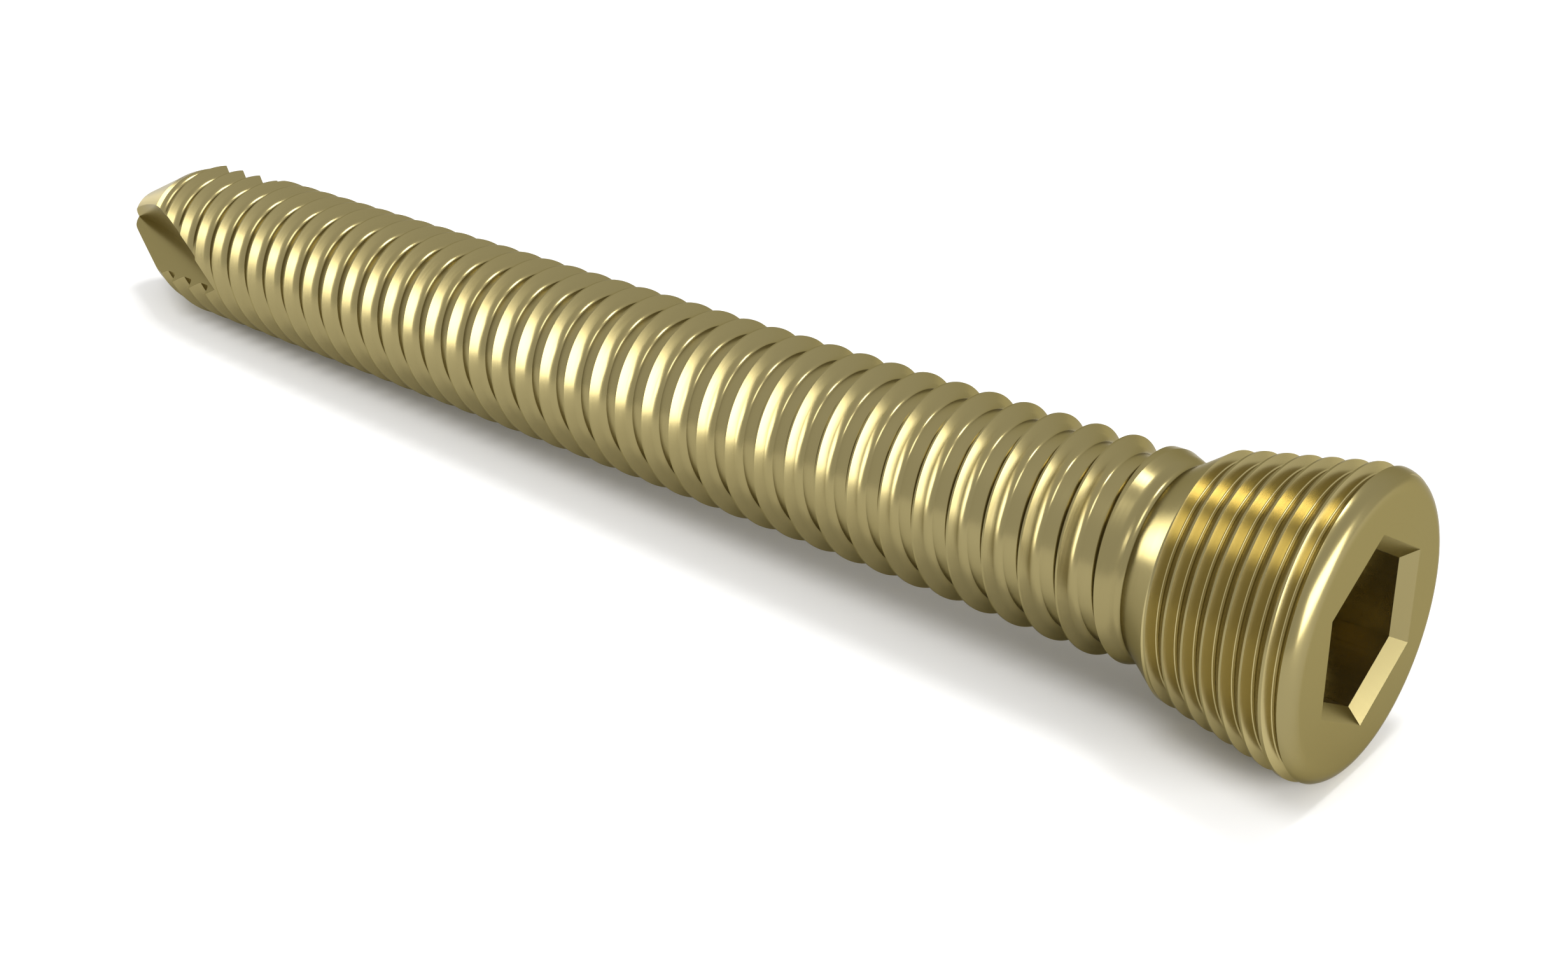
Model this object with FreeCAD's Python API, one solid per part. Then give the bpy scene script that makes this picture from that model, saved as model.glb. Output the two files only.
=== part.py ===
import FreeCAD, Part

import math
import os

from FreeCAD import Vector

# Locking bone screw, turned from one titanium bar. Millimetres.
# It is drawn on its own axis first: the head face at 0, the tip further along the axis,
# and angles counted from the side that lies uppermost. The last step lays it on the ground.

# Whole screw
total_length = 47.15

# Head: flat face, rounded rim, taper that carries the locking thread, cone down to the neck
head_radius = 3.51
rim_radius = 0.47
under_head_angle = 35.3
neck_start = 4.7
neck_radius = 2.25

# Locking thread on the head, on a taper that would be this wide at the head face
head_crest_radius = 3.643
head_taper_angle = 10.55
head_thread_depth = 0.24
head_thread_pitch = 0.5
head_thread_start = -1.217
head_thread_turns = 12

# Hexagon socket in the head face, with a bevelled mouth and a drilled floor
hex_across_flats = 3.36
hex_mouth_across_flats = 3.98
hex_mouth_depth = 0.308
hex_depth = 2.8
hex_turn = -0.75
drill_point_angle = 59.0

# Bone thread; it is drawn over the whole shank, and the neck and the tip cut it off
thread_radius = 2.55
thread_depth = 0.35
thread_pitch = 1.0
thread_root_flat = 0.51
thread_start = 3.41
thread_turns = 44

# Shoulder behind the neck, where the groove of the bone thread grows to its full depth
shoulder_radius = 2.4
shoulder_start = 4.9
shoulder_angle = 22.0
run_out_start = 4.98
run_out_end = 5.51

# Tip: rounded nose, main cone, and a short lead-in cone up to the full thread
nose_radius = 1.1
tip_cone_angle = 22.5
tip_cone_radius = 2.21
lead_in_angle = 16.0

# Cutting flutes, milled with the flat side and the rim of a disc cutter
flute_count = 3
flute_turn = -26.6
flute_face_offset = 0.325
flute_floor_offset = 0.48
flute_deepest_place = 47.3
flute_cutter_radius = 16.4
flute_cutter_width = 4.0

# Where the screw touches the ground as it lies: the land at its rim and the last full crest
rim_bearing_place = 0.56
crest_bearing_place = 41.91

# Drawing aids: how far a cutting shape passes what it cuts, and the points of a helix
clearance = 0.2
points_per_turn = 16


def tan(degrees):
    """Tangent of an angle in degrees."""
    return math.tan(math.radians(degrees))


def around(radius, degrees, along):
    """A point by its radius, its angle from the uppermost side and its place along the axis."""
    angle = math.radians(degrees)
    return Vector(radius * math.cos(angle), radius * math.sin(angle), along)


def outline(points):
    """Straight edges that join the points (radius, place) of a half outline in their order."""
    corners = [around(radius, 0, along) for radius, along in points]
    return [Part.LineSegment(a, b).toShape() for a, b in zip(corners, corners[1:])]


def rounding(centre, radius, start_angle, end_angle):
    """An arc of a half outline about a centre (radius, place), with angles from the face side."""
    angles = [start_angle, (start_angle + end_angle) / 2.0, end_angle]
    turns = [math.radians(angle) for angle in angles]
    points = [(centre[0] + radius * math.sin(t), centre[1] - radius * math.cos(t)) for t in turns]
    return Part.Arc(*[around(r, 0, along) for r, along in points]).toShape()


def revolved(edges):
    """The solid that a closed half outline sweeps about the screw's axis."""
    face = Part.Face(Part.Wire(edges))
    return face.revolve(Vector(0, 0, 0), Vector(0, 0, 1), 360)


def helical_edge(radius_at, start, pitch, turn):
    """One turn of a thread edge, as a smooth curve through evenly spaced points."""
    def place(turns):
        along = start + pitch * turns
        return around(radius_at(along), 360.0 * turns, along)

    def slope(turns):
        small = 1e-4
        return (place(turns + small) - place(turns - small)) * (0.5 / small)

    steps = [i / points_per_turn for i in range(points_per_turn + 1)]
    curve = Part.BSplineCurve()
    curve.interpolate(
        Points=[place(turn + step) for step in steps],
        Parameters=steps,
        InitialTangent=slope(turn),
        FinalTangent=slope(turn + 1),
        Scale=False,
    )
    return curve.toShape()


def threaded_bar(section, start, pitch, turns):
    """A bar along the axis, some whole turns long, with one right-handed helical groove.

    The section lists the thread's edges over one pitch, from a crest on, as pairs: the edge's
    distance from the crest, and its radius as a function of the place along the axis. The
    crest passes the uppermost side at the start place. Both ends of the bar follow the thread.
    """
    rows = [
        [helical_edge(radius_at, start + offset, pitch, turn) for offset, radius_at in section]
        for turn in range(turns)
    ]
    crest_radius_at = section[0][1]
    rows.append([helical_edge(crest_radius_at, start, pitch, turns)])
    faces = []
    for row, following in zip(rows, rows[1:]):
        edges = row + following[:1]
        faces += [Part.makeRuledSurface(a, b) for a, b in zip(edges, edges[1:])]

    for turn in (0, turns):
        low = start + pitch * turn
        high = low + pitch
        axis = outline([(0, low), (0, high)])[0]
        faces.append(Part.makeRuledSurface(axis, rows[turn][0]))
        step = [(0, low)]
        step += [(radius_at(low + offset), low + offset) for offset, radius_at in section]
        step += [(crest_radius_at(high), high), (0, high), (0, low)]
        faces.append(Part.Face(Part.Wire(outline(step))))
    bar = Part.Solid(Part.Shell(faces))
    if bar.Volume < 0:
        bar.reverse()
    return bar


def head_crest(along):
    """Radius of the head thread's crests at a place along the axis."""
    return head_crest_radius - along * tan(head_taper_angle)


def head_root(along):
    """Radius of the head thread's root at a place along the axis."""
    return head_crest(along) - head_thread_depth


def bone_crest(along):
    """Radius of the bone thread's crests, the same all along."""
    return thread_radius


def bone_root(along):
    """Radius of the bone thread's root, which sinks in from the surface behind the neck."""
    share = (along - run_out_start) / (run_out_end - run_out_start)
    share = min(max(share, 0.0), 1.0)
    return thread_radius - thread_depth * share * share * (3.0 - 2.0 * share)


def head():
    """The head: a turned blank with the locking thread cut into its taper."""
    face_radius = head_radius - rim_radius
    cone_start = neck_start - (head_radius - neck_radius) / tan(under_head_angle)
    rim = rounding((face_radius, rim_radius), rim_radius, 0, 90)
    blank = revolved(
        outline([(0, 0), (face_radius, 0)])
        + [rim]
        + outline([
            (head_radius, rim_radius),
            (head_radius, cone_start),
            (neck_radius, neck_start),
            (0, neck_start),
            (0, 0),
        ])
    )
    section = [(0, head_crest), (head_thread_pitch / 2.0, head_root)]
    thread = threaded_bar(section, head_thread_start, head_thread_pitch, head_thread_turns)
    return blank.common(thread)


def shank():
    """The shank: a blank with its shoulder and its tip, and the bone thread cut into it."""
    outer_radius = thread_radius + clearance
    shoulder_end = shoulder_start + (outer_radius - shoulder_radius) / tan(shoulder_angle)
    nose_centre = total_length - nose_radius
    touch = (
        nose_radius * math.cos(math.radians(tip_cone_angle)),
        nose_centre + nose_radius * math.sin(math.radians(tip_cone_angle)),
    )
    cone_start = touch[1] - (tip_cone_radius - touch[0]) / tan(tip_cone_angle)
    lead_in_start = cone_start - (outer_radius - tip_cone_radius) / tan(lead_in_angle)
    nose = rounding((0, nose_centre), nose_radius, 90 + tip_cone_angle, 180)
    blank = revolved(
        outline([
            (0, neck_start),
            (neck_radius, neck_start),
            (shoulder_radius, shoulder_start),
            (outer_radius, shoulder_end),
            (outer_radius, lead_in_start),
            (tip_cone_radius, cone_start),
            touch,
        ])
        + [nose]
        + outline([(0, total_length), (0, neck_start)])
    )
    flank = (thread_pitch - thread_root_flat) / 2.0
    section = [(0, bone_crest), (flank, bone_root), (flank + thread_root_flat, bone_root)]
    thread = threaded_bar(section, thread_start, thread_pitch, thread_turns)
    return blank.common(thread)


def hexagon(across_flats, along):
    """The corners of a hexagon about the axis, the first one repeated at the end."""
    corner_radius = across_flats / math.sqrt(3)
    return [around(corner_radius, hex_turn + 60 * i, along) for i in range(7)]


def flat_sided(lower, upper):
    """A solid with flat sides between two like polygons, each closed by its first corner."""
    sides = [
        Part.makePolygon([lower[i], lower[i + 1], upper[i + 1], upper[i], lower[i]])
        for i in range(len(lower) - 1)
    ]
    wires = [Part.makePolygon(lower), Part.makePolygon(upper)] + sides
    return Part.Solid(Part.Shell([Part.Face(wire) for wire in wires]))


def hex_socket():
    """What the hexagon socket takes away: its mouth, its six walls and its drilled floor."""
    widening = (hex_mouth_across_flats - hex_across_flats) / hex_mouth_depth
    outside_across_flats = hex_mouth_across_flats + clearance * widening
    mouth = flat_sided(
        hexagon(outside_across_flats, -clearance), hexagon(hex_across_flats, hex_mouth_depth)
    )
    walls = flat_sided(
        hexagon(hex_across_flats, hex_mouth_depth), hexagon(hex_across_flats, hex_depth)
    )
    drill_radius = hex_across_flats / 2.0
    floor = Part.makeCone(
        drill_radius, 0, drill_radius / tan(drill_point_angle), Vector(0, 0, hex_depth)
    )
    return mouth.fuse([walls, floor])


def flute_cutter(number):
    """The disc that mills one flute: its flat side is the flute's face, its rim the floor."""
    facing = flute_turn + 360.0 * number / flute_count
    normal = around(1, facing, 0)
    across = around(1, facing - 90, 0)
    centre = normal * flute_face_offset + across * (flute_cutter_radius + flute_floor_offset)
    centre.z = flute_deepest_place
    return Part.makeCylinder(flute_cutter_radius, flute_cutter_width, centre, normal)


def lay_down(screw):
    """Lay the screw on the ground plane, head towards +X, with the origin below its middle."""
    reach = crest_bearing_place - rim_bearing_place
    dip = math.atan2(head_radius - thread_radius, reach)
    screw.rotate(Vector(0, 0, 0), Vector(0, 1, 0), -90 - math.degrees(dip))
    lift = head_radius * math.cos(dip) + rim_bearing_place * math.sin(dip)
    face_side = (head_radius - rim_radius) * math.sin(dip) + rim_radius * (1 - math.cos(dip))
    tip_side = (total_length - nose_radius) * math.cos(dip) + nose_radius
    screw.translate(Vector((tip_side - face_side) / 2.0, 0, lift))


screw = head().fuse(shank())
screw = screw.cut(hex_socket())
for number in range(flute_count):
    screw = screw.cut(flute_cutter(number))
lay_down(screw)

os.makedirs("parts", exist_ok=True)
screw.exportStep("parts/locking_bone_screw.step")
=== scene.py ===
import logging
import math
from abc import ABC, abstractmethod
from collections.abc import Callable
from dataclasses import dataclass, field
from enum import Enum
from typing import TypeAlias

import bpy
import numpy as np
from mathutils import Matrix, Vector


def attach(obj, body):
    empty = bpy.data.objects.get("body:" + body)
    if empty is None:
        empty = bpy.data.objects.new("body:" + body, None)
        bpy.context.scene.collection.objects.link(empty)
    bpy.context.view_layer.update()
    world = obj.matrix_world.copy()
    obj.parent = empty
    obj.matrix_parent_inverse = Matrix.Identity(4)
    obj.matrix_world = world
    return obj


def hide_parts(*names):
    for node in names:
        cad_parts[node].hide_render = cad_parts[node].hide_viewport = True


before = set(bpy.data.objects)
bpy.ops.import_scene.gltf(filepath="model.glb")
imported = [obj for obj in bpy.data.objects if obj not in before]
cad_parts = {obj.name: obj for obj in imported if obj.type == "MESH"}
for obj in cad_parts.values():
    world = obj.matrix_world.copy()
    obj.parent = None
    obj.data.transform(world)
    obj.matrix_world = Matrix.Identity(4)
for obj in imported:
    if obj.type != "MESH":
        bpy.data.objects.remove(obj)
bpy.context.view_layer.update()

# The looks of a gold anodised locking bone screw, lying on a pale studio floor.
# Meshes are drawn in millimetres on the screw's own axis: z runs from the head face to the tip
# and x is the side that lies uppermost. The finished mesh is then laid down in metres.

MM = 0.001
QUARTER_TURN = 0.25
ENERGY_PER_RADIANCE = 4
NEARLY_NOTHING = 1e-6
SMALL_STEP = 1e-4
WHITE = (1.0, 1.0, 1.0, 1.0)

log = logging.getLogger("locking_bone_screw")


def tan(degrees: float) -> float:
    """Tangent of an angle in degrees."""
    return math.tan(math.radians(degrees))


def eased(share: np.ndarray) -> np.ndarray:
    """A share, held between 0 and 1, that leaves 0 and reaches 1 smoothly."""
    share = np.clip(share, 0, 1)
    return share * share * (3 - 2 * share)


def slope_of(curve: Callable[[np.ndarray], np.ndarray], place: np.ndarray) -> np.ndarray:
    """How steeply a curve over the axis rises at places along it."""
    return (curve(place + SMALL_STEP) - curve(place - SMALL_STEP)) / (2 * SMALL_STEP)


def unit(vectors: np.ndarray) -> np.ndarray:
    """Each row of an array of vectors, made one long."""
    return vectors / np.linalg.norm(vectors, axis=1, keepdims=True)


def around(radius: np.ndarray, turns: np.ndarray, along: np.ndarray) -> np.ndarray:
    """Points by their radius, their angle in turns from the uppermost side and their place."""
    angle = 2 * np.pi * np.asarray(turns, float)
    parts = np.broadcast_arrays(radius * np.cos(angle), radius * np.sin(angle), along)
    return np.stack(parts, axis=-1)


class Skin(ABC):
    """One true surface of the screw, which gives the mesh its exact shading direction.

    The share of the brighter groove colour in its finish, from 0 to 1, is a painted reflection: it
    stands in for the light that bounces between the walls of grooves and hollows.
    """

    # Share of the painted reflection, the brighter groove colour, from 0 to 1.
    painted_reflection: float = 0.0

    @abstractmethod
    def directions(self, points: np.ndarray) -> np.ndarray:
        """The surface's outward directions at points on it.

        Args:
            points: one point per row, in millimetres on the screw's axis.

        Returns:
            One vector per row, of any length.
        """

    def marks(self, points: np.ndarray) -> np.ndarray:
        """Where points lie on the tool marks: first along a mark, then across the marks.

        Args:
            points: one point per row, in millimetres on the screw's axis.

        Returns:
            Two lengths per row, in millimetres.
        """
        angle = np.arctan2(points[:, 1], points[:, 0])
        radius = np.hypot(points[:, 0], points[:, 1])
        return np.stack([angle * radius, points[:, 2] + radius], axis=1)


@dataclass(eq=False)
class TurnedSkin(Skin):
    """A straight or rounded stretch of a turned half outline.

    A stretch is straight if it has a slope, as (outward, along), and rounded if it has a
    centre, as (radius, place), about which it bulges or hollows.
    """

    slope: tuple[float, float] | None = None
    centre: tuple[float, float] | None = None
    hollow: bool = False
    painted_reflection: float = 0.0

    def directions(self, points: np.ndarray) -> np.ndarray:
        """Outward directions, worked out in the half outline and turned to each point."""
        radius = np.hypot(points[:, 0], points[:, 1])
        safe = np.maximum(radius, NEARLY_NOTHING)
        if self.centre is None:
            outward = np.full(len(points), self.slope[0])
            along = np.full(len(points), self.slope[1])
        else:
            outward = radius - self.centre[0]
            along = points[:, 2] - self.centre[1]
            if self.hollow:
                outward, along = -outward, -along
        x, y = points[:, 0] / safe, points[:, 1] / safe
        return np.stack([x * outward, y * outward, along], axis=1)


@dataclass(eq=False)
class FlatSkin(Skin):
    """A flat face with one outward direction, milled with straight strokes."""

    facing: np.ndarray
    painted_reflection: float = 0.0

    def directions(self, points: np.ndarray) -> np.ndarray:
        """The same direction at every point."""
        return np.tile(self.facing, (len(points), 1))

    def marks(self, points: np.ndarray) -> np.ndarray:
        """Marks that run along the screw's axis."""
        across = np.cross(self.facing, (0.0, 0.0, 1.0))
        return np.stack([points[:, 2], points @ across], axis=1)


@dataclass(eq=False)
class DiscSkin(Skin):
    """What a disc cutter leaves: arcs about its centre on a flat, or the hollow of its rim."""

    centre: np.ndarray
    axle: np.ndarray
    rim: bool
    painted_reflection: float = 0.0

    def directions(self, points: np.ndarray) -> np.ndarray:
        """Towards the axle in the rim's hollow, along the axle on the flat."""
        if not self.rim:
            return np.tile(self.axle, (len(points), 1))
        reach = self.centre - points
        return reach - np.outer(reach @ self.axle, self.axle)

    def marks(self, points: np.ndarray) -> np.ndarray:
        """Marks that run round the cutter's centre."""
        reach = points - self.centre
        height = reach @ self.axle
        flat = reach - np.outer(height, self.axle)
        radius = np.linalg.norm(flat, axis=1)
        first = unit(np.cross(self.axle, (0.0, 0.0, 1.0))[None])[0]
        second = np.cross(self.axle, first)
        angle = np.arctan2(flat @ second, flat @ first)
        return np.stack([angle * radius, radius + height], axis=1)


@dataclass(eq=False)
class ThreadSkin(Skin):
    """A thread's crests or its grooves."""

    thread: "Thread"
    groove: bool
    painted_reflection: float

    def directions(self, points: np.ndarray) -> np.ndarray:
        """Outward directions of the helical surface, from the thread's own section."""
        thread = self.thread
        radius = np.hypot(points[:, 0], points[:, 1])
        place = points[:, 2]
        along = -slope_of(thread.crest_at, place)
        round_about = np.zeros(len(points))
        if self.groove:
            turn = np.arctan2(points[:, 1], points[:, 0]) / (2 * np.pi)
            reach = np.mod(place - thread.start - thread.pitch * turn, thread.pitch)
            share, steepness = thread.section(reach)
            middle = place + thread.groove_middle - reach
            fall = thread.depth_at(middle) * steepness
            along = along + fall
            deepening = share * slope_of(thread.depth_at, middle)
            round_about = (fall - deepening) * thread.pitch / (2 * np.pi * radius)
        x, y = points[:, 0] / radius, points[:, 1] / radius
        return np.stack([x + y * round_about, y - x * round_about, along], axis=1)


class Joining(Enum):
    """How one closed shape acts on another."""

    ADD = "UNION"
    KEEP = "INTERSECT"
    CUT = "DIFFERENCE"


@dataclass
class Shape:
    """A closed mesh whose faces each know which true surface they are part of."""

    name: str
    skins: list[Skin]
    points: list[np.ndarray] = field(default_factory=list)
    faces: list[tuple[int, ...]] = field(default_factory=list)
    skin_numbers: list[int] = field(default_factory=list)

    def add_points(self, points: np.ndarray) -> int:
        """Adds rows of points and returns the number of the first one."""
        first = sum(len(rows) for rows in self.points)
        self.points.append(np.asarray(points, float).reshape(-1, 3))
        return first

    def add_faces(self, faces: list[tuple[int, ...]], skin: Skin) -> None:
        """Adds faces that lie on one true surface."""
        if skin not in self.skins:
            self.skins.append(skin)
        self.faces += faces
        self.skin_numbers += [self.skins.index(skin)] * len(faces)

    def to_object(self) -> bpy.types.Object:
        """The shape as an object in the scene, with its skins' numbers on its faces."""
        mesh = bpy.data.meshes.new(self.name)
        mesh.from_pydata(np.concatenate(self.points).tolist(), [], self.faces)
        numbers = mesh.attributes.new("skin", "INT", "FACE")
        numbers.data.foreach_set("value", np.array(self.skin_numbers, np.int32))
        result = bpy.data.objects.new(self.name, mesh)
        bpy.context.scene.collection.objects.link(result)
        return result


def join(base: bpy.types.Object, other: bpy.types.Object, how: Joining) -> bpy.types.Object:
    """Joins two closed shapes and leaves one.

    Args:
        base: the shape that is changed.
        other: the shape that acts on it, which is used up.
        how: add it, keep what both share, or cut it away.

    Returns:
        The changed base.
    """
    step = base.modifiers.new(how.name, "BOOLEAN")
    step.operation = how.value
    step.solver = "MANIFOLD"
    step.object = other
    bpy.context.view_layer.update()
    evaluated = base.evaluated_get(bpy.context.evaluated_depsgraph_get())
    before = base.data
    base.data = bpy.data.meshes.new_from_object(evaluated)
    base.modifiers.clear()
    bpy.data.meshes.remove(before)
    bpy.data.objects.remove(other)
    return base


@dataclass
class Outline:
    """A half outline from the head face to the tip, turned about the axis.

    It holds its points as (radius, place), and the true surface of each stretch between them.
    """

    steps: int
    points: list[tuple[float, float]] = field(default_factory=lambda: [(0.0, 0.0)])
    stretches: list[Skin] = field(default_factory=list)

    def line(self, radius: float, place: float, lean: float = 0.0) -> None:
        """A straight stretch to the next point, whose shading may lean a few degrees."""
        last_radius, last_place = self.points[-1]
        facing = math.atan2(last_radius - radius, place - last_place) + math.radians(lean)
        self.points.append((radius, place))
        self.stretches.append(TurnedSkin(slope=(math.cos(facing), math.sin(facing))))

    def arc(
        self, centre: tuple[float, float], radius: float, start: float, end: float,
        hollow: bool = False, parts: int = 12,
    ) -> None:
        """A rounded stretch that begins at the last point.

        Args:
            centre: the arc's centre as (radius, place).
            radius: the arc's radius.
            start: the angle of its first point, in radians from the face side.
            end: the angle of its last point.
            hollow: whether the metal lies outside the arc.
            parts: how many straight parts stand for it.
        """
        skin = TurnedSkin(centre=centre, hollow=hollow)
        for part in range(1, parts + 1):
            angle = start + (end - start) * part / parts
            out = centre[0] + radius * math.sin(angle)
            self.points.append((max(out, 0.0), centre[1] - radius * math.cos(angle)))
            self.stretches.append(skin)

    def corners(self, corners: list[tuple[float, float, float, float]]) -> None:
        """Straight stretches with rounded corners between them.

        Args:
            corners: the corners as (radius, place, rounding, lean), where the lean is that of
                the stretch before the corner. The last corner isn't rounded.
        """
        for (radius, place, rounding, lean), following in zip(corners, corners[1:]):
            if not rounding:
                self.line(radius, place, lean)
                continue
            corner = Vector((radius, place))
            back = (Vector(self.points[-1]) - corner).normalized()
            ahead = (Vector(following[:2]) - corner).normalized()
            half = back.angle(ahead) / 2
            first = corner + back * (rounding / math.tan(half))
            last = corner + ahead * (rounding / math.tan(half))
            centre = corner + (back + ahead).normalized() * (rounding / math.sin(half))
            start, end = (math.atan2(p.x - centre.x, centre.y - p.y) for p in (first, last))
            end += 2 * math.pi * round((start - end) / (2 * math.pi))
            hollow = back.y * ahead.x < back.x * ahead.y
            self.line(*first, lean)
            self.arc(tuple(centre), rounding, start, end, hollow)
        self.line(*corners[-1][:2])

    def turned(self, name: str, skins: list[Skin]) -> bpy.types.Object:
        """The closed solid that the outline sweeps.

        Args:
            name: the new object's name.
            skins: the list of true surfaces that the mesh adds its own to.

        Returns:
            The new object.
        """
        shape = Shape(name, skins)
        turns = np.arange(self.steps) / self.steps
        rings = []
        for radius, place in self.points:
            on_axis = radius < NEARLY_NOTHING
            first = shape.add_points(around(radius, turns[:1] if on_axis else turns, place))
            rings.append([first if on_axis else first + i for i in range(self.steps)])
        for ring, following, skin in zip(rings, rings[1:], self.stretches):
            faces = []
            for i in range(self.steps):
                j = (i + 1) % self.steps
                corners = [ring[i], ring[j], following[j], following[i]]
                faces.append(tuple(dict.fromkeys(corners)))
            shape.add_faces(faces, skin)
        return shape.to_object()


@dataclass
class Thread(ABC):
    """A right-handed thread cut into a bar along the axis.

    Its crests and its flanks are straight, and each flank meets the root in a fillet, which
    reaches as far into the flank as into the root.
    """

    pitch: float
    start: float
    turns: int
    crest_flat: float
    tip_flank: float
    root_flat: float
    fillet: float
    steps: int
    # Share of painted reflection in the grooves: the brighter groove colour stands in for light
    # bounced between the flanks.
    groove_painted_reflection: float = 0.0
    fillet_points: int = 4

    @property
    def groove_middle(self) -> float:
        """How far the middle of the root lies from the middle of the crest before it."""
        return self.crest_flat / 2 + self.tip_flank + self.root_flat / 2

    def section(self, reach: np.ndarray) -> tuple[np.ndarray, np.ndarray]:
        """The groove's section.

        Args:
            reach: distances from the middle of a crest towards the next one.

        Returns:
            The shares of the groove's depth there, and how they change per millimetre.
        """
        head_flank = self.pitch - self.crest_flat - self.tip_flank - self.root_flat
        share, steepness = -1.0, 0.0
        flanks = ((self.tip_flank, reach, 1), (head_flank, self.pitch - reach, -1))
        for length, run, sign in flanks:
            down = (np.asarray(run) - self.crest_flat / 2) / length
            bend = self.fillet / length
            bent = np.clip((down - 1 + bend) / (2 * bend), 0, 1)
            share = share + np.minimum(down, 1 - bend) + 2 * bend * (bent - bent * bent / 2)
            steepness = steepness + sign * (1 - bent) / length
        return share, steepness

    @abstractmethod
    def crest_at(self, place: np.ndarray) -> np.ndarray:
        """Radius of the crests at places along the axis."""

    @abstractmethod
    def depth_at(self, place: np.ndarray) -> np.ndarray:
        """Depth of the groove below the crests at places along the axis."""

    def bar(self, name: str, skins: list[Skin]) -> bpy.types.Object:
        """A closed bar with the thread's groove, whose ends follow the thread.

        Args:
            name: the new object's name.
            skins: the list of true surfaces that the mesh adds its own to.

        Returns:
            The new object.
        """
        shape = Shape(name, skins)
        half = self.crest_flat / 2
        bends = np.linspace(-self.fillet, self.fillet, self.fillet_points)
        corner = half + self.tip_flank
        offsets = [-half, half, *(corner + bends), *(corner + self.root_flat + bends)]
        count = self.steps * self.turns
        rows = []
        for number, offset in enumerate(offsets):
            last = count + (self.steps if number == 0 else 0)
            turns = np.arange(last + 1) / self.steps
            helix = self.start + self.pitch * turns
            on_crest = number < 2
            share = 0.0 if on_crest else self.section(offset)[0]
            depth = self.depth_at(helix + self.groove_middle)
            radius = self.crest_at(helix + offset) - share * depth
            rows.append(shape.add_points(around(radius, turns, helix + offset)))
        edges = [*rows, rows[0] + self.steps]
        # The grooves carry the thread's share of painted reflection, the crests none.
        crest = ThreadSkin(self, groove=False, painted_reflection=0.0)
        groove = ThreadSkin(self, groove=True, painted_reflection=self.groove_painted_reflection)
        skins_across = [crest] + [groove] * (len(rows) - 1)
        for first, second, skin in zip(edges, edges[1:], skins_across):
            faces = [
                (first + i, first + i + 1, second + i + 1, second + i) for i in range(count)
            ]
            shape.add_faces(faces, skin)
        ends = TurnedSkin(slope=(0.0, -1.0))
        low = shape.add_points(np.array([[0.0, 0.0, self.start]]))
        high = shape.add_points(np.array([[0.0, 0.0, self.start + self.pitch * self.turns]]))
        edge = rows[0]
        fan = [(low, edge + i + 1, edge + i) for i in range(self.steps)]
        fan.append((low, *rows, edge + self.steps))
        fan += [(high, edge + count + i, edge + count + i + 1) for i in range(self.steps)]
        fan.append((high, edge + count + self.steps, *[row + count for row in rows[::-1]]))
        shape.add_faces(fan, ends)
        return shape.to_object()


@dataclass
class LockingThread(Thread):
    """The head's fine thread, on a taper."""

    pitch: float = 0.5
    start: float = -1.217
    turns: int = 11
    crest_flat: float = 0.053
    tip_flank: float = 0.24
    root_flat: float = 0.07
    fillet: float = 0.018
    steps: int = 144
    # Full painted reflection in the locking thread's grooves.
    groove_painted_reflection: float = 1.0
    crest_radius: float = 3.643
    taper_angle: float = 10.55
    depth: float = 0.24
    run_out_start: float = 3.64
    run_out_end: float = 3.89

    def crest_at(self, place: np.ndarray) -> np.ndarray:
        """Radius of the crests, which lie on the taper."""
        return self.crest_radius - np.asarray(place) * tan(self.taper_angle)

    def depth_at(self, place: np.ndarray) -> np.ndarray:
        """Depth of the groove, which runs out smoothly before the cone."""
        reach = self.run_out_end - self.run_out_start
        return self.depth * eased((self.run_out_end - np.asarray(place)) / reach)


@dataclass
class BoneThread(Thread):
    """The shank's coarse thread, whose groove grows in behind the neck."""

    pitch: float = 1.0
    start: float = 3.41
    turns: int = 44
    crest_flat: float = 0.05
    tip_flank: float = 0.22
    root_flat: float = 0.51
    fillet: float = 0.09
    steps: int = 120
    # A little painted reflection in the bone thread's grooves.
    groove_painted_reflection: float = 0.1
    radius: float = 2.55
    depth: float = 0.35
    run_out_start: float = 4.98
    run_out_end: float = 5.51

    def crest_at(self, place: np.ndarray) -> np.ndarray:
        """Radius of the crests, the same all along."""
        return np.full(np.shape(place), self.radius)

    def depth_at(self, place: np.ndarray) -> np.ndarray:
        """Depth of the groove, which sinks in smoothly behind the neck."""
        reach = self.run_out_end - self.run_out_start
        return self.depth * eased((np.asarray(place) - self.run_out_start) / reach)


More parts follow.
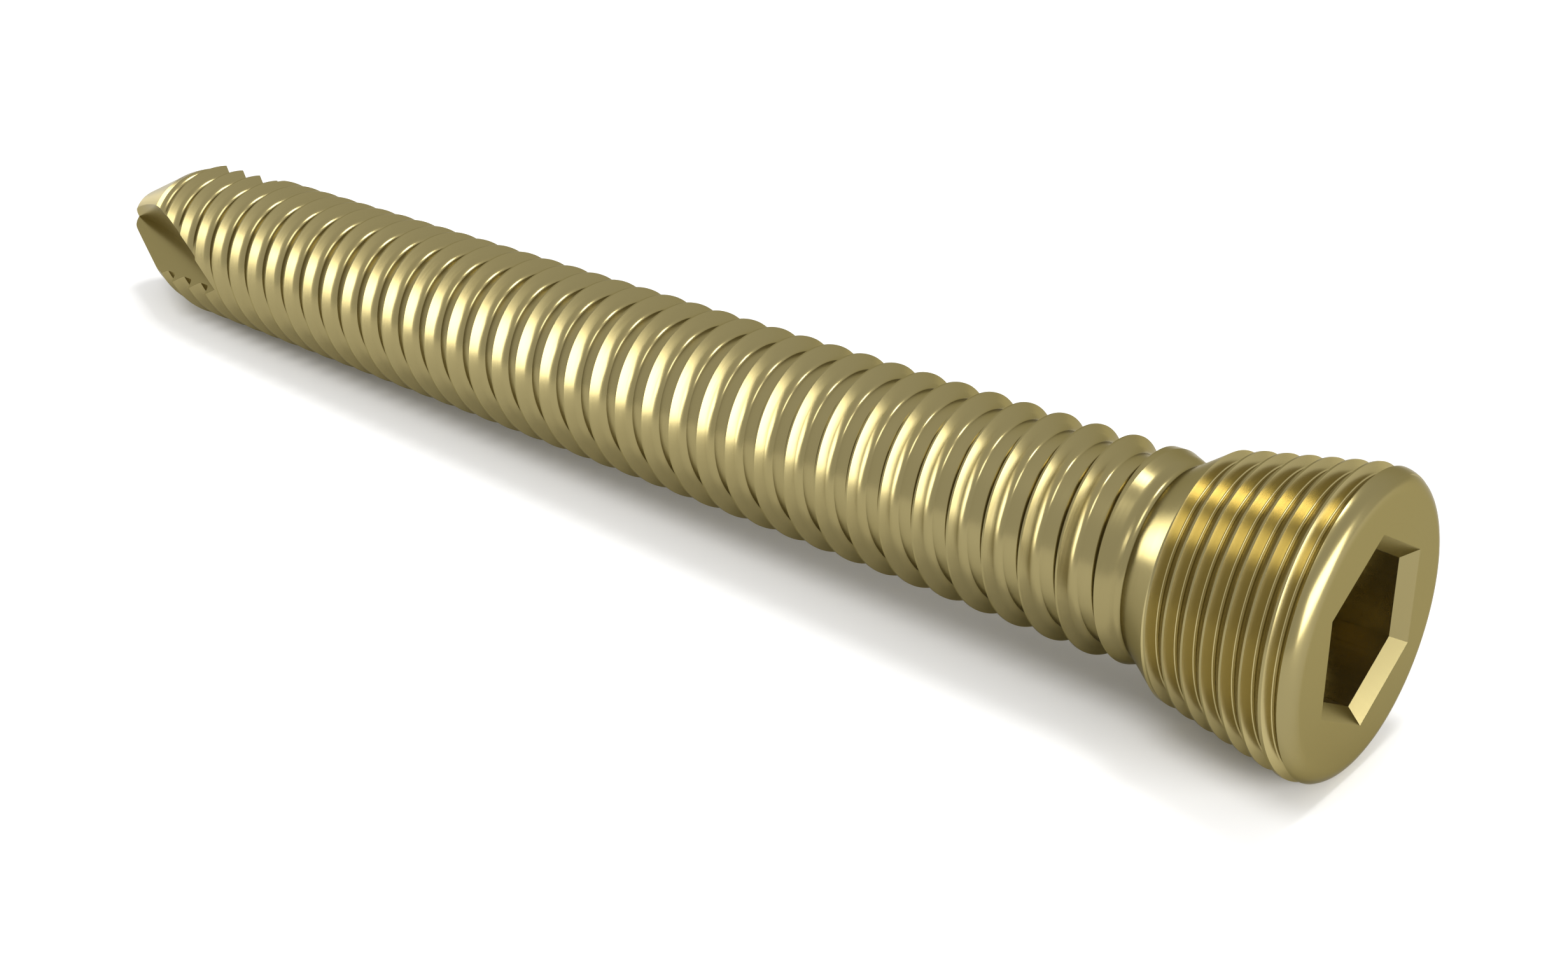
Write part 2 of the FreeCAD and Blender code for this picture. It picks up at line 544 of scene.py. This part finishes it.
@dataclass
class HexSocket:
    """The hexagon socket: bevelled mouth, six walls and the point that the drill left."""

    across_flats: float = 3.36
    mouth_across_flats: float = 3.98
    mouth_depth: float = 0.308
    depth: float = 2.8
    turn: float = -0.75
    drill_angle: float = 59.0
    # Painted reflection: the brighter groove colour on the socket's walls and drill point, none on
    # the mouth.
    mouth_painted_reflection: float = 0.0
    wall_painted_reflection: float = 1.0
    clearance: float = 0.2
    steps: int = 96

    def ring(self, across_flats: float, place: float) -> np.ndarray:
        """The six corners of the hexagon at a place."""
        return around(across_flats / math.sqrt(3), self.turn / 360 + np.arange(6) / 6, place)

    def walls(self, skins: list[Skin]) -> bpy.types.Object:
        """What the mouth and the walls take away."""
        shape = Shape("socket_walls", skins)
        widening = (self.mouth_across_flats - self.across_flats) / self.mouth_depth
        outside = self.mouth_across_flats + self.clearance * widening
        rings = [
            self.ring(outside, -self.clearance),
            self.ring(self.across_flats, self.mouth_depth),
            self.ring(self.across_flats, self.depth),
        ]
        firsts = [shape.add_points(ring) for ring in rings]
        # The mouth and the walls each get their share of painted reflection.
        painted_reflections = (self.mouth_painted_reflection, self.wall_painted_reflection)
        strips = zip(rings, rings[1:], firsts, firsts[1:], painted_reflections)
        for ring, following, first, second, painted_reflection in strips:
            for i in range(6):
                j = (i + 1) % 6
                facing = unit(np.cross(following[i] - ring[i], ring[j] - ring[i])[None])[0]
                inward = -facing if facing @ (ring[i] + ring[j]) > 0 else facing
                face = (first + i, first + j, second + j, second + i)
                shape.add_faces([face], FlatSkin(inward, painted_reflection))
        mouth = tuple(firsts[0] + i for i in range(5, -1, -1))
        floor = tuple(firsts[2] + i for i in range(6))
        shape.add_faces([mouth, floor], FlatSkin(np.array([0.0, 0.0, -1.0])))
        return shape.to_object()

    def drilled_floor(self, skins: list[Skin]) -> bpy.types.Object:
        """What the drill's point takes away below the walls."""
        radius = self.across_flats / 2
        shape = Shape("socket_floor", skins)
        above = self.depth - self.clearance
        reach = radius / tan(self.drill_angle)
        turns = np.arange(self.steps) / self.steps
        top = shape.add_points(around(radius, turns, above))
        corner = shape.add_points(around(radius, turns, self.depth))
        point = shape.add_points(np.array([[0.0, 0.0, self.depth + reach]]))
        sides, cone = [], []
        for i in range(self.steps):
            j = (i + 1) % self.steps
            sides.append((top + i, top + j, corner + j, corner + i))
            cone.append((corner + i, corner + j, point))
        shape.add_faces(sides, TurnedSkin(slope=(-1.0, 0.0)))
        # The drill point's cone gets the walls' painted reflection.
        shape.add_faces(cone, TurnedSkin(slope=(-reach, -radius), painted_reflection=self.wall_painted_reflection))
        lid = tuple(top + i for i in range(self.steps - 1, -1, -1))
        shape.add_faces([lid], FlatSkin(np.array([0.0, 0.0, -1.0])))
        return shape.to_object()


@dataclass
class TurnedBlank:
    """The bar as it comes off the lathe: head, neck, shoulder, shank and rounded tip."""

    length: float = 47.15
    head_radius: float = 3.51
    rim_radius: float = 0.47
    neck_radius: float = 2.25
    neck_place: float = 4.72
    neck_rounding: float = 0.16
    cone_angle: float = 35.3
    cone_lean: float = -7.0
    shoulder_radius: float = 2.42
    shoulder_place: float = 4.92
    shoulder_rounding: float = 0.5
    shoulder_angle: float = 21.0
    outer_radius: float = 2.75
    nose_radius: float = 1.1
    tip_angle: float = 22.5
    tip_cone_radius: float = 2.21
    lead_in_angle: float = 16.0
    steps: int = 240

    def build(self, skins: list[Skin]) -> bpy.types.Object:
        """The blank as a new object, whose true surfaces are added to the skins."""
        head_rise = self.head_radius - self.neck_radius
        cone_start = self.neck_place - head_rise / tan(self.cone_angle)
        shoulder_rise = self.outer_radius - self.shoulder_radius
        shoulder_top = self.shoulder_place + shoulder_rise / tan(self.shoulder_angle)
        nose_centre = self.length - self.nose_radius
        tip = math.radians(self.tip_angle)
        touch_radius = self.nose_radius * math.cos(tip)
        touch_place = nose_centre + self.nose_radius * math.sin(tip)
        tip_start = touch_place - (self.tip_cone_radius - touch_radius) / math.tan(tip)
        lead_in_rise = self.outer_radius - self.tip_cone_radius
        outline = Outline(self.steps)
        outline.corners([
            (self.head_radius, 0.0, self.rim_radius, 0.0),
            (self.head_radius, cone_start, 0.0, 0.0),
            (self.neck_radius, self.neck_place, self.neck_rounding, self.cone_lean),
            (self.shoulder_radius, self.shoulder_place, self.shoulder_rounding, 0.0),
            (self.outer_radius, shoulder_top, 0.0, 0.0),
            (self.outer_radius, tip_start - lead_in_rise / tan(self.lead_in_angle), 0.0, 0.0),
            (self.tip_cone_radius, tip_start, 0.0, 0.0),
            (touch_radius, touch_place, 0.0, 0.0),
        ])
        outline.arc((0.0, nose_centre), self.nose_radius, math.pi / 2 + tip, math.pi, parts=20)
        return outline.turned("screw_body", skins)


@dataclass
class CuttingFlutes:
    """The flutes at the tip, each milled with the flat side and the rim of a disc cutter."""

    count: int = 3
    turn: float = -26.6
    face_offset: float = 0.325
    floor_offset: float = 0.48
    deepest_place: float = 47.3
    cutter_radius: float = 16.4
    cutter_width: float = 4.0
    half_reach: float = 40.0
    # Painted reflection in the hollow of each flute, the brighter groove colour.
    hollow_painted_reflection: float = 1.0
    steps: int = 220

    def cutter(self, number: int, skins: list[Skin]) -> bpy.types.Object:
        """The part of the disc that reaches into the screw for one flute.

        Args:
            number: which flute, from 0.
            skins: the list of true surfaces that the mesh adds its own to.

        Returns:
            The closed cutter as a new object.
        """
        facing = self.turn / 360 + number / self.count
        axle = around(1.0, facing, 0.0)
        across = around(1.0, facing - QUARTER_TURN, 0.0)
        along = np.array([0.0, 0.0, 1.0])
        centre = axle * self.face_offset + across * (self.cutter_radius + self.floor_offset)
        centre = centre + along * self.deepest_place
        angles = np.radians(np.linspace(-self.half_reach, self.half_reach, self.steps + 1))
        arc = centre + self.cutter_radius * (
            np.outer(-np.cos(angles), across) + np.outer(np.sin(angles), along)
        )
        shape = Shape("flute_cutter", skins)
        near = shape.add_points(arc)
        far = shape.add_points(arc + axle * self.cutter_width)
        count = len(arc)
        flat = DiscSkin(centre, axle, rim=False)
        # The rim's hollow carries the flute's painted reflection.
        rim = DiscSkin(centre, axle, rim=True, painted_reflection=self.hollow_painted_reflection)
        shape.add_faces([tuple(near + i for i in range(count - 1, -1, -1))], flat)
        shape.add_faces([tuple(far + i for i in range(count))], FlatSkin(-axle))
        hollow = [(near + i, near + i + 1, far + i + 1, far + i) for i in range(count - 1)]
        shape.add_faces(hollow, rim)
        back = (near, far, far + count - 1, near + count - 1)
        shape.add_faces([back], FlatSkin(-across))
        return shape.to_object()


@dataclass(frozen=True)
class Lie:
    """How the screw lies on the ground: on its head's rim and on its last full crest."""

    rim_place: float = 0.56
    crest_place: float = 41.91

    def matrix(self, blank: TurnedBlank, thread: BoneThread) -> Matrix:
        """The matrix from millimetres on the screw's axis to metres on the ground.

        Args:
            blank: the blank, for its radii and its length.
            thread: the bone thread, for its radius.

        Returns:
            The matrix.
        """
        reach = self.crest_place - self.rim_place
        dip = math.atan2(blank.head_radius - thread.radius, reach)
        low, level = math.sin(dip), math.cos(dip)
        lift = blank.head_radius * level + self.rim_place * low
        face_radius = blank.head_radius - blank.rim_radius
        face_side = face_radius * low + blank.rim_radius * (1 - level)
        tip_side = (blank.length - blank.nose_radius) * level + blank.nose_radius
        middle = (tip_side - face_side) / 2
        rows = [
            (-low, 0, -level, middle),
            (0, 1, 0, 0),
            (level, 0, -low, lift),
            (0, 0, 0, 1 / MM),
        ]
        return Matrix([[value * MM for value in row] for row in rows])


Value: TypeAlias = "Term | float | tuple[float, ...]"


class Nodes:
    """The nodes of one material or of the world."""

    def __init__(self, tree: bpy.types.NodeTree) -> None:
        """Empties the tree and starts from its output."""
        self.tree = tree
        tree.nodes.clear()

    def add(
        self, kind: str, settings: dict | None = None, inputs: dict | None = None,
    ) -> bpy.types.Node:
        """Adds one node.

        Args:
            kind: the node's type.
            settings: what is set on the node itself, before its sockets.
            inputs: a value, a socket or a term for each socket, by name or number.

        Returns:
            The new node.
        """
        node = self.tree.nodes.new(kind)
        for name, value in (settings or {}).items():
            setattr(node, name, value)
        for name, value in (inputs or {}).items():
            source = value.socket if isinstance(value, Term) else value
            if isinstance(source, bpy.types.NodeSocket):
                self.tree.links.new(source, node.inputs[name])
            else:
                node.inputs[name].default_value = source
        return node

    def seen(self) -> "Term":
        """1 where the camera looks, directly or through a reflection, and 0 for matt light."""
        path = self.add("ShaderNodeLightPath")
        camera, glossy = self.term(path, "Is Camera Ray"), self.term(path, "Is Glossy Ray")
        return camera + glossy + self.term(path, "Is Transmission Ray")

    def term(self, node: bpy.types.Node, output: int | str = 0) -> "Term":
        """One of a node's outputs, to be used in an expression."""
        return Term(self, node.outputs[output])


class Term:
    """A shader value that can be used in plain expressions."""

    def __init__(self, nodes: Nodes, socket: bpy.types.NodeSocket) -> None:
        """Wraps a socket of these nodes."""
        self.nodes = nodes
        self.socket = socket

    def _math(self, operation: str, first: Value, second: Value) -> "Term":
        """A Math node on two values."""
        inputs = {0: first, 1: second}
        return self.nodes.term(self.nodes.add("ShaderNodeMath", {"operation": operation}, inputs))

    def __add__(self, other: Value) -> "Term":
        """This plus another."""
        return self._math("ADD", self, other)

    def __radd__(self, other: Value) -> "Term":
        """Another plus this."""
        return self._math("ADD", other, self)

    def __sub__(self, other: Value) -> "Term":
        """This minus another."""
        return self._math("SUBTRACT", self, other)

    def __rsub__(self, other: Value) -> "Term":
        """Another minus this."""
        return self._math("SUBTRACT", other, self)

    def __mul__(self, other: Value) -> "Term":
        """This times another."""
        return self._math("MULTIPLY", self, other)

    def __rmul__(self, other: Value) -> "Term":
        """Another times this."""
        return self._math("MULTIPLY", other, self)

    def mixed(self, low: Value, high: Value) -> "Term":
        """A colour between two, by this value from 0 to 1."""
        node = self.nodes.add("ShaderNodeMix", {"data_type": "RGBA"}, {0: self, 6: low, 7: high})
        return self.nodes.term(node, 2)


def new_material(name: str) -> tuple[bpy.types.Material, Nodes]:
    """A new empty material and its nodes."""
    material = bpy.data.materials.new(name)
    material.use_nodes = True
    return material, Nodes(material.node_tree)


@dataclass(frozen=True)
class AnodisedTitanium:
    """Satin polished titanium under a thin gold anodised layer, with fine tool marks.

    The layer has its first colour on the plain surfaces and a slightly warmer one where it is
    thicker. A brighter gold is painted into the locking thread's grooves, onto the socket's walls
    and into the hollow of the flutes, and a little of it into the bone thread's grooves: a painted
    reflection, which stands in for the light that bounces between their walls.
    """

    colour: tuple[float, float, float, float] = (0.25, 0.213, 0.1, 1.0)
    thicker_film: tuple[float, float, float, float] = (0.258, 0.212, 0.091, 1.0)
    # The brighter colour of the painted reflection in grooves, on socket walls and in flute
    # hollows.
    groove_painted_reflection: tuple[float, float, float, float] = (0.385, 0.325, 0.155, 1.0)
    roughness: float = 0.23
    roughness_spread: float = 0.08
    grazing_tint: tuple[float, float, float, float] = (0.56, 0.53, 0.44, 1.0)
    marks_per_mm: tuple[float, float, float] = (0.35, 14.0, 1.0)
    cloud_scale: float = 260.0
    mark_strength: float = 0.25
    mark_depth: float = 0.0000007

    def material(self) -> bpy.types.Material:
        """The finish as a material."""
        material, nodes = new_material("anodised_titanium")
        # The attribute holds the tool marks and, as its third value, the share of painted
        # reflection.
        marks = nodes.add("ShaderNodeAttribute", {"attribute_name": "marks_and_painted_reflection"})
        stretch = nodes.add(
            "ShaderNodeVectorMath", {"operation": "MULTIPLY"},
            {0: marks.outputs["Vector"], 1: self.marks_per_mm},
        )
        fine = nodes.term(nodes.add(
            "ShaderNodeTexNoise", {"noise_dimensions": "2D"},
            {"Vector": stretch.outputs[0], "Scale": 1.0, "Detail": 3.0, "Roughness": 0.6},
        ))
        place = nodes.add("ShaderNodeTexCoord")
        cloud = nodes.term(nodes.add(
            "ShaderNodeTexNoise", {"noise_dimensions": "3D"},
            {"Vector": place.outputs["Object"], "Scale": self.cloud_scale, "Detail": 2.0},
        ))
        parts = nodes.add("ShaderNodeSeparateXYZ", {}, {0: marks.outputs["Vector"]})
        plain = cloud.mixed(self.colour, self.thicker_film)
        # Painted reflection: the attribute's third value mixes in the brighter groove colour,
        # standing in for light bounced between the walls of grooves and hollows.
        painted_reflection = nodes.term(parts, "Z").mixed(plain, self.groove_painted_reflection)
        rough = self.roughness + (fine - 0.5) * self.roughness_spread
        bump = nodes.add(
            "ShaderNodeBump", {},
            {"Height": fine, "Strength": self.mark_strength, "Distance": self.mark_depth},
        )
        metal = nodes.add(
            "ShaderNodeBsdfPrincipled", {},
            {
                "Base Color": painted_reflection, "Metallic": 1.0, "Roughness": rough,
                "Normal": bump.outputs[0], "Specular Tint": self.grazing_tint,
            },
        )
        nodes.add("ShaderNodeOutputMaterial", {}, {"Surface": metal.outputs[0]})
        return material


@dataclass(frozen=True)
class PaleFloor:
    """A plain matt white floor, which goes over into the white surroundings."""

    colour: tuple[float, float, float, float] = (0.94, 0.94, 0.94, 1.0)
    matt_reach: float = 0.07
    white_reach: float = 0.3
    roughness: float = 0.85
    roughness_spread: float = 0.1
    grain_scale: float = 40.0

    def material(self) -> bpy.types.Material:
        """The floor's finish as a material."""
        material, nodes = new_material("pale_floor")
        grain = nodes.term(nodes.add(
            "ShaderNodeTexNoise", {}, {"Scale": self.grain_scale, "Detail": 2.0},
        ))
        matt = nodes.add(
            "ShaderNodeBsdfPrincipled", {},
            {
                "Base Color": self.colour,
                "Roughness": self.roughness + grain * self.roughness_spread,
                "Specular IOR Level": 0.0,
            },
        )
        place = nodes.add("ShaderNodeTexCoord")
        reach = nodes.add(
            "ShaderNodeVectorMath", {"operation": "LENGTH"}, {0: place.outputs["Object"]},
        )
        away = nodes.add(
            "ShaderNodeMapRange", {"interpolation_type": "SMOOTHSTEP"},
            {
                "Value": reach.outputs["Value"],
                "From Min": self.matt_reach,
                "From Max": self.white_reach,
            },
        )
        white = nodes.add("ShaderNodeEmission", {}, {"Color": WHITE, "Strength": 1.0})
        both = nodes.add(
            "ShaderNodeMixShader", {},
            {0: nodes.term(away) * nodes.seen(), 1: matt.outputs[0], 2: white.outputs[0]},
        )
        nodes.add("ShaderNodeOutputMaterial", {}, {"Surface": both.outputs[0]})
        return material


@dataclass
class LockingScrew:
    """The whole screw, which is turned and milled from one bar."""

    blank: TurnedBlank = field(default_factory=TurnedBlank)
    locking_thread: LockingThread = field(default_factory=LockingThread)
    bone_thread: BoneThread = field(default_factory=BoneThread)
    socket: HexSocket = field(default_factory=HexSocket)
    flutes: CuttingFlutes = field(default_factory=CuttingFlutes)
    lie: Lie = field(default_factory=Lie)
    finish: AnodisedTitanium = field(default_factory=AnodisedTitanium)
    skins: list[Skin] = field(default_factory=list)

    def build(self) -> bpy.types.Object:
        """The finished screw, lying on the ground and riding on the frame."""
        threads = self.bone_thread.bar("bone_thread", self.skins)
        locking = self.locking_thread.bar("locking_thread", self.skins)
        threads = join(threads, locking, Joining.ADD)
        screw = join(self.blank.build(self.skins), threads, Joining.KEEP)
        screw = join(screw, self.socket.walls(self.skins), Joining.CUT)
        screw = join(screw, self.socket.drilled_floor(self.skins), Joining.CUT)
        for number in range(self.flutes.count):
            screw = join(screw, self.flutes.cutter(number, self.skins), Joining.CUT)
        self.dress(screw)
        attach(screw, "root")
        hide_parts("locking_bone_screw")
        return screw

    def dress(self, screw: bpy.types.Object) -> None:
        """Gives the mesh its exact shading directions, its tool marks, its share of painted
        reflection and its finish.
        """
        mesh = screw.data
        loops = len(mesh.loops)
        corners = np.zeros(loops, np.int32)
        mesh.loops.foreach_get("vertex_index", corners)
        points = np.zeros(len(mesh.vertices) * 3)
        mesh.vertices.foreach_get("co", points)
        points = points.reshape(-1, 3)[corners]
        sizes = np.zeros(len(mesh.polygons), np.int32)
        mesh.polygons.foreach_get("loop_total", sizes)
        numbers = np.zeros(len(mesh.polygons), np.int32)
        mesh.attributes["skin"].data.foreach_get("value", numbers)
        numbers = np.repeat(numbers, sizes)
        shading = np.zeros((loops, 3))
        marks = np.zeros((loops, 3))
        for number in np.unique(numbers):
            of_skin = numbers == number
            skin = self.skins[number]
            shading[of_skin] = unit(skin.directions(points[of_skin]))
            marks[of_skin, :2] = skin.marks(points[of_skin])
            # Third value: the skin's share of painted reflection, the brighter groove colour.
            marks[of_skin, 2] = skin.painted_reflection
        # One attribute carries the tool marks and the share of painted reflection.
        marks_and_painted_reflection = mesh.attributes.new("marks_and_painted_reflection", "FLOAT_VECTOR", "CORNER")
        marks_and_painted_reflection.data.foreach_set("vector", marks.astype(np.float32).ravel())
        mesh.attributes.remove(mesh.attributes["skin"])
        lying = self.lie.matrix(self.blank, self.bone_thread)
        mesh.transform(lying)
        shading = shading @ np.array(lying.to_3x3().normalized()).T
        mesh.shade_smooth()
        mesh.normals_split_custom_set(shading.tolist())
        mesh.materials.clear()
        mesh.materials.append(self.finish.material())


@dataclass(frozen=True)
class SoftLamp:
    """A square or oblong lamp with a soft even face, aimed at the screw."""

    name: str
    azimuth: float
    elevation: float
    width: float
    height: float
    radiance: float
    distance: float = 0.5

    def place(self, target: Vector) -> None:
        """Puts the lamp up, aimed at the target.

        Args:
            target: the point that it faces, in metres.
        """
        light = bpy.data.lights.new(self.name, "AREA")
        light.shape = "RECTANGLE"
        light.size = self.width
        light.size_y = self.height
        light.energy = ENERGY_PER_RADIANCE * self.radiance * self.width * self.height
        lamp = bpy.data.objects.new(self.name, light)
        a, e = math.radians(self.azimuth), math.radians(self.elevation)
        away = Vector((math.sin(a) * math.cos(e), -math.cos(a) * math.cos(e), math.sin(e)))
        lamp.location = target + away * self.distance
        lamp.rotation_euler = away.to_track_quat("Z", "Y").to_euler()
        bpy.context.scene.collection.objects.link(lamp)


@dataclass
class Studio:
    """The pale floor, the soft lamps, the white surroundings and the camera."""

    floor_size: float = 4.0
    surroundings: float = 0.62
    lamps: tuple[SoftLamp, ...] = (
        SoftLamp("head_lamp", azimuth=88.0, elevation=14.0, width=0.46, height=0.25, radiance=7.0),
        SoftLamp("tip_lamp", azimuth=-93.0, elevation=7.0, width=0.2, height=0.12, radiance=8.0),
        SoftLamp("key_lamp", azimuth=-8.0, elevation=66.0, width=0.2, height=0.2, radiance=4.5),
        SoftLamp("top_lamp", azimuth=176.0, elevation=76.0, width=0.13, height=0.13, radiance=13.0),
    )
    lit_place: tuple[float, float, float] = (0.0, 0.0, 0.002)
    camera_place: tuple[float, float, float] = (0.0367720614, -0.0331936752, 0.0234653801)
    camera_forward: tuple[float, float, float] = (-0.59895048, 0.67027587, -0.43816502)
    camera_right: tuple[float, float, float] = (0.7455355, 0.6664658, 0.0004042)
    lens: float = 42.897
    sensor: float = 36.0
    nearest_seen: float = 0.001

    def build(self) -> None:
        """Sets the whole studio up."""
        self.lay_floor()
        self.light_surroundings()
        for lamp in self.lamps:
            lamp.place(Vector(self.lit_place))
        self.stand_camera()
        bpy.context.scene.view_settings.view_transform = "Standard"

    def lay_floor(self) -> None:
        """The floor that the screw lies on."""
        half = self.floor_size / 2
        corners = [(-half, -half, 0), (half, -half, 0), (half, half, 0), (-half, half, 0)]
        mesh = bpy.data.meshes.new("floor")
        mesh.from_pydata(corners, [], [(0, 1, 2, 3)])
        mesh.materials.append(PaleFloor().material())
        floor = bpy.data.objects.new("floor", mesh)
        bpy.context.scene.collection.objects.link(floor)

    def light_surroundings(self) -> None:
        """A white room all round, which lights matt surfaces more dimly than it shows."""
        world = bpy.data.worlds.new("surroundings")
        bpy.context.scene.world = world
        world.use_nodes = True
        nodes = Nodes(world.node_tree)
        shown = nodes.add("ShaderNodeBackground", {}, {"Color": WHITE, "Strength": 1.0})
        lighting = nodes.add(
            "ShaderNodeBackground", {}, {"Color": WHITE, "Strength": self.surroundings},
        )
        both = nodes.add(
            "ShaderNodeMixShader", {},
            {0: nodes.seen(), 1: lighting.outputs[0], 2: shown.outputs[0]},
        )
        nodes.add("ShaderNodeOutputWorld", {}, {"Surface": both.outputs[0]})

    def stand_camera(self) -> None:
        """The camera at the photograph's own viewing angle."""
        data = bpy.data.cameras.new("camera")
        data.sensor_width = self.sensor
        data.lens = self.lens
        data.clip_start = self.nearest_seen
        camera = bpy.data.objects.new("camera", data)
        forward = Vector(self.camera_forward).normalized()
        right = Vector(self.camera_right).normalized()
        up = right.cross(forward)
        turned = Matrix((right, up, -forward)).transposed().to_4x4()
        camera.matrix_world = Matrix.Translation(self.camera_place) @ turned
        bpy.context.scene.collection.objects.link(camera)
        bpy.context.scene.camera = camera


def main() -> None:
    """Builds the screw and the studio around it."""
    logging.basicConfig(level=logging.INFO, format="%(name)s: %(message)s")
    screw = LockingScrew().build()
    log.info("%s: %d faces", screw.name, len(screw.data.polygons))
    Studio().build()
    log.info("studio: floor, surroundings, lamps and camera")


if __name__ == "__main__":
    main()
